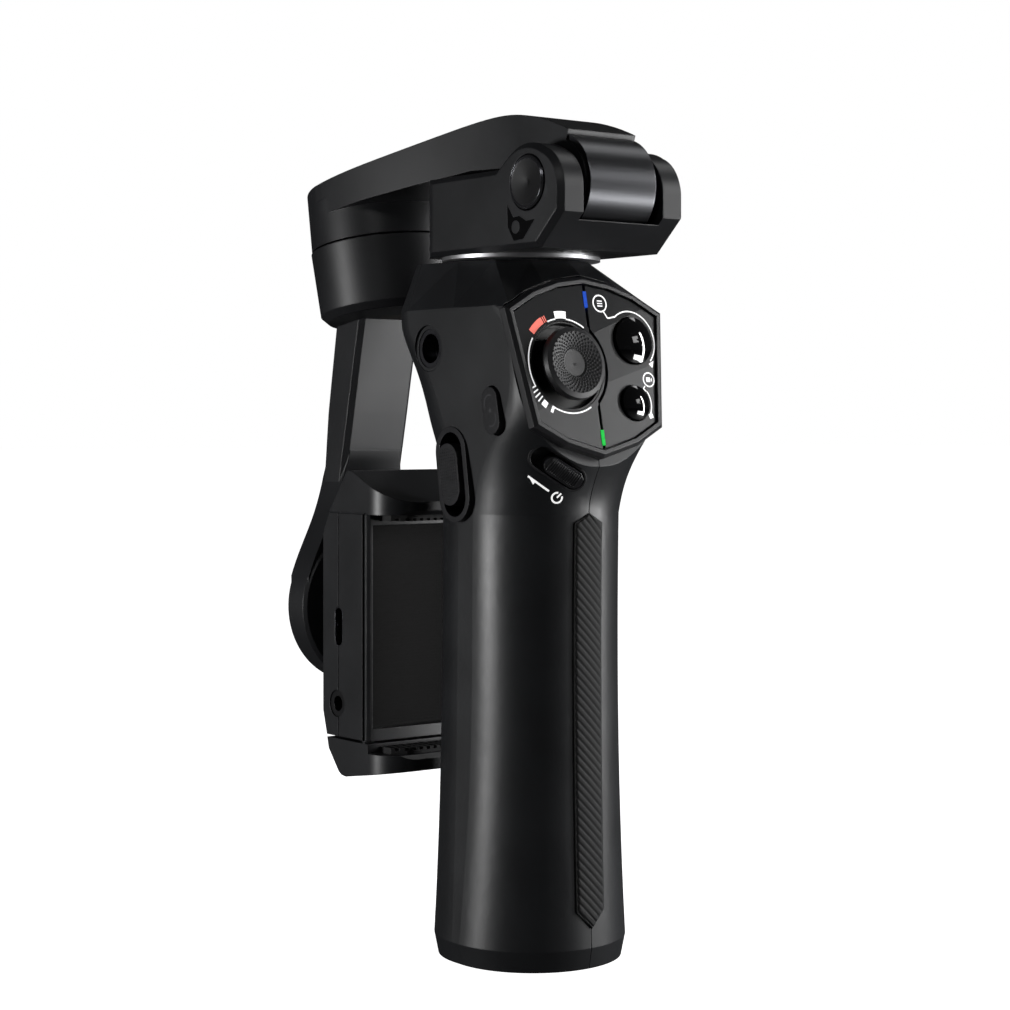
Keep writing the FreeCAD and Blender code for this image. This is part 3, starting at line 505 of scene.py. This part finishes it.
power_print = Print()
power_print.line([(4.98, 1.5), (4.9, -3.9)], 0.42)
power_print.patch([(4.7, -4.1), (4.7, -2.0), (5.75, -2.0)])
power_print.band((5.2, 3.8), 0.92, 1.30, 203, 498)
power_print.line([(5.2, 3.8), (3.95, 4.0)], 0.36)
power_print.lay("power_print", slider_place, white_ink, "handle",
                onto=nodes["left_grip_shell"])

mode_place = side_place((-20.2, -12.5, 118.0), 11.0) @ Matrix.Translation((0, 0, 0.03 * mm))
mode_print = Print()
mode_print.band((0, 1.6), 1.55, 1.85, 60, 200)
mode_print.band((0, -1.6), 1.55, 1.85, 240, 380)
mode_print.patch([(-1.9, 1.2), (-1.3, 1.2), (-1.65, 0.4)])
mode_print.patch([(1.9, -1.2), (1.3, -1.2), (1.65, -0.4)])
mode_print.band((0, 0), 0.0, 0.42, 0, 360)
mode_print.lay("mode_print", mode_place, grey_ink, "mode_button")


# The control panel leans back on the head. It has a raised bezel, two textured plates split
# by a groove, and two light bars shining through the split at the top and the foot.
lean = math.radians(11.5)
panel_place = Matrix(((1, 0, 0, 0), (0, math.sin(lean), -math.cos(lean), -22.1 * mm),
                      (0, math.cos(lean), math.sin(lean), 126.9 * mm), (0, 0, 0, 1)))


def on_panel(finish):
    """The panel's own u and v over a surface."""
    turned = finish.node("ShaderNodeMapping", {"vector_type": "TEXTURE"},
                         {"Vector": finish.place(), "Location": panel_place.translation,
                          "Rotation": panel_place.to_euler()})
    return finish.axes(turned, "XY")


def crease(u, v, at, towards):
    """Distance in metres from a straight crease on the panel."""
    length = math.hypot(towards[0] - at[0], towards[1] - at[1])
    nx = -(towards[1] - at[1]) / length
    ny = (towards[0] - at[0]) / length
    return (u * nx + v * ny - (at[0] * nx + at[1] * ny) * mm).size()


plate_plastic = Finish("plate_plastic", Specular_IOR_Level=0.33)
plate_u, plate_v = on_panel(plate_plastic)
plate_speck = plate_plastic.noise(3600.0, 3.0)
plate_cloud = plate_plastic.noise(80.0, 3.0)
facets = (crease(plate_u, plate_v, (2.0, -3.4), (18.0, 1.6)) * -0.10
          + crease(plate_u, plate_v, (0.0, 7.2), (8.0, 10.4)) * -0.06)
plate_black = plate_plastic.blend(plate_cloud, (0.0095, 0.0098, 0.011, 1), (0.0135, 0.014, 0.0155, 1))
plate_plastic.feed("Base Color", plate_black)
plate_plastic.feed("Roughness", 0.34 + (plate_speck - 0.5) * 0.12 + (plate_cloud - 0.5) * 0.08)
plate_plastic.bump(facets + plate_speck * 0.004 * mm, 1.0, 0.2 * mm)
dress(plate_plastic, "panel_plastic", "panel_plate_left", "panel_plate_right")
bezel_plastic = moulded("bezel_plastic", grey(0.012, 0.002), grey(0.018, 0.002), 0.38, wear=0.3)
dress(bezel_plastic, "panel_plastic", "panel_bezel")


def light_bar(name, colour, strength):
    """Frosted window with its lamp on, a little uneven."""
    window = Finish(name, Roughness=0.3, Specular_IOR_Level=0.1, Emission_Strength=strength)
    spread = window.noise(1500.0, 2.0)
    dim = scaled(colour, 0.65)
    window.feed("Base Color", window.blend(spread, colour, dim))
    window.feed("Emission Color", window.blend(spread.fade(0.3, 0.8), colour, dim))
    return window.bump(spread, 0.01 * mm)


dress(light_bar("blue_window", (0.003, 0.055, 0.42, 1), 0.8), "blue_light", "blue_light_bar")
dress(light_bar("green_window", (0.006, 0.46, 0.05, 1), 0.8), "green_light", "green_light_bar")

print_place = panel_place @ Matrix.Translation((0, 0, -0.47 * mm))
stick = (-6.8, 0.6)
white_print = Print()
for start, stop in ((55, 83), (99, 112), (145, 205), (241, 300)):
    white_print.band(stick, 10.0, 10.3, start, stop)
white_print.band(stick, 10.2, 11.8, 83, 99)
for angle in (205, 210, 215, 220):
    white_print.band(stick, 10.0, 11.7, angle, angle + 1.6)
white_print.band(stick, 10.2, 11.6, 225, 232)
white_print.band(stick, 10.0, 11.5, 238.5, 242)
glyph = (4.3, 14.4)
white_print.band(glyph, 1.62, 1.95, 0, 360)
for row in (-0.55, 0.0, 0.55):
    white_print.line([(glyph[0] - 0.7, glyph[1] + row), (glyph[0] + 0.7, glyph[1] + row)], 0.24)
white_print.line([(5.0, 12.7), (6.0, 11.2), (8.0, 11.6)], 0.32)
white_print.band((11.9, 6.5), 6.25, 6.55, -44, 129)
white_print.patch([(15.9, 1.4), (17.4, 2.1), (16.8, 0.5)])
small = (10.5, -7.3)
tag = (15.3, -2.1)
white_print.band(tag, 1.35, 1.65, 0, 360)
white_print.patch([(14.6, -2.6), (15.7, -2.6), (15.7, -1.6), (14.6, -1.6)])
white_print.patch([(15.8, -2.1), (16.2, -2.6), (16.2, -1.6)])
white_print.line([(14.0, -3.5), (13.5, -4.1), (14.2, -4.7)], 0.28)
white_print.band(small, 4.5, 4.8, -32, 34)
white_print.patch([(13.9, -9.8), (14.9, -9.2), (15.3, -10.4), (14.3, -10.7)])
white_print.lay("panel_print", print_place, white_ink, "handle")
red_print = Print()
red_print.band(stick, 10.2, 11.6, 113.0, 114.3)
red_print.band(stick, 10.2, 11.6, 115.6, 116.9)
red_print.band(stick, 10.2, 11.7, 118.4, 140)
red_print.lay("panel_print_red", print_place, red_ink, "handle")


# The joystick is a rubber cap on a steel stem in a moulded dish. Its rim carries crossing
# spirals of small teeth around a smooth hollow for the thumb.
stick_rubber = moulded("stick_rubber", grey(0.013, 0.001), grey(0.021, 0.002), 0.46,
                       grain=0.25 * mm, depth=0.008 * mm, round_off=0.15 * mm, wear=0.5)
dress(stick_rubber, "soft_rubber", "joystick_cap")
dress(steel, "steel", "joystick_stem", "joystick_cradle")
dress(foot_plastic, "inner_plastic", "joystick_base")
gloss_black = Finish("gloss_black", Coat_Weight=1.0, Coat_Roughness=0.03, Specular_IOR_Level=0.6)
dust = gloss_black.noise(1200.0, 4.0).fade(0.60, 0.80)
gloss_black.feed("Base Color", gloss_black.blend(dust, grey(0.0025, 0.0005), grey(0.009, 0.001)))
gloss_black.feed("Roughness", 0.06 + dust * 0.12)
gloss_black.bump(gloss_black.noise(500.0, 2.0), 0.001 * mm)
dish_plastic = moulded("dish_plastic", grey(0.002), grey(0.003), 0.45)
dress(dish_plastic, "panel_plastic", "joystick_well")


def tooth(length, width, rise):
    """One wedge of rubber that points outwards along x."""
    wedge = bmesh.new()
    corners = [(-0.5, 0, 0), (0.1, -0.5, 0), (0.5, 0, 0), (0.1, 0.5, 0), (0.1, 0, 1)]
    verts = [wedge.verts.new((x * length, y * width, z * rise)) for x, y, z in corners]
    for i in range(4):
        wedge.faces.new((verts[i], verts[(i + 1) % 4], verts[4]))
    return seed_of("tooth", wedge)


cap_centre = panel_place @ Matrix.Translation((stick[0] * mm, stick[1] * mm, 0))
hollow_radius = 2.7
hollow_height = 2.12
rim_slope = 0.256
teeth_in_ring = 34
teeth = []
for ring in range(7):
    reach = 3.1 + 0.54 * ring
    height = hollow_height + (reach - hollow_radius) * rim_slope
    for k in range(teeth_in_ring):
        around = math.tau * (k + 0.5 * (ring % 2)) / teeth_in_ring
        teeth.append(cap_centre @ Matrix.Rotation(around, 4, "Z")
                     @ Matrix.Translation((reach * mm, 0, (height - 0.03) * mm))
                     @ Matrix.Rotation(-0.25, 4, "Y"))
repeat("joystick_teeth", tooth(0.80 * mm, 0.62 * mm, 0.36 * mm), teeth, stick_rubber,
       "joystick", "soft_rubber")


# Two domed press buttons in polished black plastic, each on a short plunger.
dress(gloss_black, "gloss_black", "capture_button", "record_button")


# The pan motor sits in the head, under a bright turned ring, and turns the hinge block. The
# block is moulded with two ears, a lock mark and a sprung release button on its left side.
motor_iron = metal("motor_iron", (0.16, 0.15, 0.14, 1), 0.45)
bright_ring = metal("bright_ring", (0.80, 0.80, 0.82, 1), 0.36, tone=0.85)
dress(motor_iron, "motor_iron", "pan_stator", "pan_rotor", "tilt_stator", "tilt_rotor", "roll_stator")
dress(steel, "steel", "pan_bearing", "tilt_bearing", "hinge_pin")
dress(bright_ring, "bright_ring", "pan_ring")
block_plastic = moulded("block_plastic", shell_dark, shell_light, 0.40, round_off=0.35 * mm, wear=0.35)
dress(block_plastic, "shell_plastic", "hinge_block")
dress(gloss_black, "panel_plastic", "lock_mark")
release_metal = Finish("release_metal", Specular_IOR_Level=0.5)
release_y, release_z = release_metal.axes(release_metal.place(), "YZ")
dy = release_y + 21.0 * mm
dz = release_z - 165.2 * mm
far = (dy * dy + dz * dz).root()
bright_edge = far.fade(4.75 * mm, 4.95 * mm)
turning = (far * 26000.0).sine() * 0.5 + 0.5
release_metal.feed("Base Color", release_metal.blend(bright_edge, grey(0.010, 0.001), grey(0.10, 0.01)))
release_metal.feed("Metallic", 0.1 + bright_edge * 0.7)
release_metal.feed("Roughness", 0.34 - bright_edge * 0.18 + turning * 0.05)
release_metal.bump(turning, 0.003 * mm, 0.15 * mm)
dress(release_metal, "satin_sleeve", "release_button", "hinge_cap")


# The main arm folds over the top on a steel pin. Its barrel is wrapped in a satin sleeve,
# and its far end holds the tilt motor under a flat cover.
arm_plastic = moulded("arm_plastic", shell_dark, shell_light, 0.42, round_off=0.30 * mm, wear=0.3)
dress(arm_plastic, "shell_plastic", "main_arm", "arm_cover")
satin_sleeve = Finish("satin_sleeve", Metallic=0.85)
drawn = satin_sleeve.node("ShaderNodeMapping", {},
                          {"Vector": satin_sleeve.place(), "Scale": (60.0, 2400.0, 2400.0)})
lines = satin_sleeve.noise(1.0, 3.0, where=drawn)
# Painted highlight: the sleeve's outside edges are made far lighter in colour to stand in for the bright rim
# line the lamps draw there; the same edges are also a little smoother, as real polish.
polish_and_painted_highlight = satin_sleeve.edges(0.5 * mm)
satin_sleeve.feed("Base Color", satin_sleeve.blend(polish_and_painted_highlight, (0.055, 0.056, 0.060, 1), (0.30, 0.30, 0.32, 1)))
satin_sleeve.feed("Roughness", 0.32 + (lines - 0.5) * 0.16 - polish_and_painted_highlight * 0.1)
satin_sleeve.bump(lines, 0.003 * mm, 0.3 * mm)
dress(satin_sleeve, "satin_sleeve", "hinge_sleeve")


# The tilt cup hangs under the arm and carries the second arm, whose round end is the roll
# motor with a pressed cover.
dress(arm_plastic, "shell_plastic", "tilt_cup", "lower_arm")
cover_plastic = moulded("cover_plastic", (0.011, 0.0115, 0.013, 1), (0.015, 0.0155, 0.0175, 1), 0.30,
                        wear=0.4)
dress(cover_plastic, "shell_plastic", "motor_cover")


# The phone clamp: a two-part moulded body on the roll hub, a hollowed rubber pad, a fixed
# top jaw and a lower jaw that slides on two steel rods against a spring.
clamp_plastic = moulded("clamp_plastic", shell_dark, shell_light, 0.40, wear=0.4)
dress(clamp_plastic, "shell_plastic", "clamp_shell", "clamp_frame", "top_jaw", "lower_jaw")
dress(control_plastic, "panel_plastic", "roll_hub")
pad_rubber = Finish("pad_rubber", Specular_IOR_Level=0.06)
pad_up = pad_rubber.axes(pad_rubber.place(), "Z")[0]
pad_lines = (pad_up * 9000.0).sine() * 0.5 + 0.5
pad_speck = pad_rubber.noise(2400.0, 3.0)
pad_cloud = pad_rubber.noise(90.0, 3.0)
pad_rubber.feed("Base Color", pad_rubber.blend(pad_cloud, grey(0.004), grey(0.007)))
pad_rubber.feed("Roughness", 0.58 + (pad_speck - 0.5) * 0.15)
pad_rubber.bump(pad_lines * 0.012 * mm + pad_speck * 0.012 * mm, 1.0, 0.1 * mm)
dress(pad_rubber, "soft_rubber", "phone_pad")
dress(grip_rubber, "soft_rubber", "top_jaw_pad", "lower_jaw_pad")
dress(steel, "steel", "guide_rods", "clamp_spring")
jack_plastic = moulded("jack_plastic", grey(0.004, 0.001), grey(0.007, 0.001), 0.35)
dress(jack_plastic, "jack_plastic", "audio_jack")
dark_nickel = metal("dark_nickel", (0.10, 0.10, 0.11, 1), 0.30)
dress(dark_nickel, "steel", "accessory_insert", "usb_port")


# The studio: a pale floor, a softbox low on the left, a tall strip at the right and four
# weak lamps for the face and the top, with a camera level with the panel, turned 38 degrees.
floor_paint = Finish("floor_paint", Roughness=0.9, Emission_Strength=1.0)
floor_mottle = floor_paint.noise(3.0, 2.0)
seen = floor_paint.node("ShaderNodeLightPath", output="Is Camera Ray")
pale = floor_paint.blend(floor_mottle, grey(0.86), grey(0.88))
floor_paint.feed("Base Color", floor_paint.blend(seen, grey(0.08), pale))
floor_paint.feed("Emission Color", floor_paint.blend(seen, grey(0), grey(1.1)))
floor_mesh = bpy.data.meshes.new("floor")
floor_half = 9
floor_corners = [(x * floor_half, y * floor_half, -0.2 * mm) for x, y in ((-1, -1), (1, -1), (1, 1), (-1, 1))]
floor_mesh.from_pydata(floor_corners, [], [(0, 1, 2, 3)])
floor = bpy.data.objects.new("floor", floor_mesh)
bpy.context.scene.collection.objects.link(floor)
floor_mesh.materials.append(floor_paint.material)

world = bpy.data.worlds.new("studio")
bpy.context.scene.world = world
world.use_nodes = True
backdrop = world.node_tree.nodes["Background"]
eye = world.node_tree.nodes.new("ShaderNodeLightPath")
level = world.node_tree.nodes.new("ShaderNodeMapRange")
level.inputs["To Min"].default_value = 0.02
level.inputs["To Max"].default_value = 1.0
world.node_tree.links.new(eye.outputs["Is Camera Ray"], level.inputs["Value"])
world.node_tree.links.new(level.outputs["Result"], backdrop.inputs["Strength"])
backdrop.inputs["Color"].default_value = (1, 1, 1, 1)


def softbox(name, at, aim, width, height, watts):
    """Rectangular lamp that faces a point and isn't seen itself."""
    lamp = bpy.data.lights.new(name, "AREA")
    lamp.shape = "RECTANGLE"
    lamp.size = width
    lamp.size_y = height
    lamp.energy = watts
    box = bpy.data.objects.new(name, lamp)
    bpy.context.scene.collection.objects.link(box)
    box.location = at
    box.rotation_euler = (Vector(aim) - Vector(at)).to_track_quat("-Z", "Y").to_euler()
    box.visible_camera = False


middle = (0.0, 0.01, 0.09)
softbox("left_box", (-0.70, 0.25, 0.05), middle, 0.12, 0.14, 3.3)
softbox("right_strip", (0.52, -0.34, 0.10), middle, 0.05, 0.7, 4.0)
softbox("front_box", (0.42, -0.60, 0.38), middle, 0.22, 0.16, 0.3)
softbox("low_right_box", (0.25, -0.26, 0.036), middle, 0.20, 0.06, 0.6)
softbox("high_right_box", (0.45, -0.02, 0.72), middle, 0.25, 0.25, 0.4)
softbox("high_left_box", (-0.62, -0.36, 0.56), middle, 0.16, 0.16, 0.4)

eye_level = 0.115
distance = 0.484
heading = math.radians(38)
camera = bpy.data.cameras.new("camera")
camera.sensor_width = 36
camera.lens = 78.84
camera.shift_x = -0.0243
camera.shift_y = -0.0792
viewer = bpy.data.objects.new("camera", camera)
bpy.context.scene.collection.objects.link(viewer)
viewer.location = (-distance * math.sin(heading), -distance * math.cos(heading), eye_level)
viewer.rotation_euler = (math.radians(90), 0, -heading)
bpy.context.scene.camera = viewer
bpy.context.scene.view_settings.view_transform = "Standard"
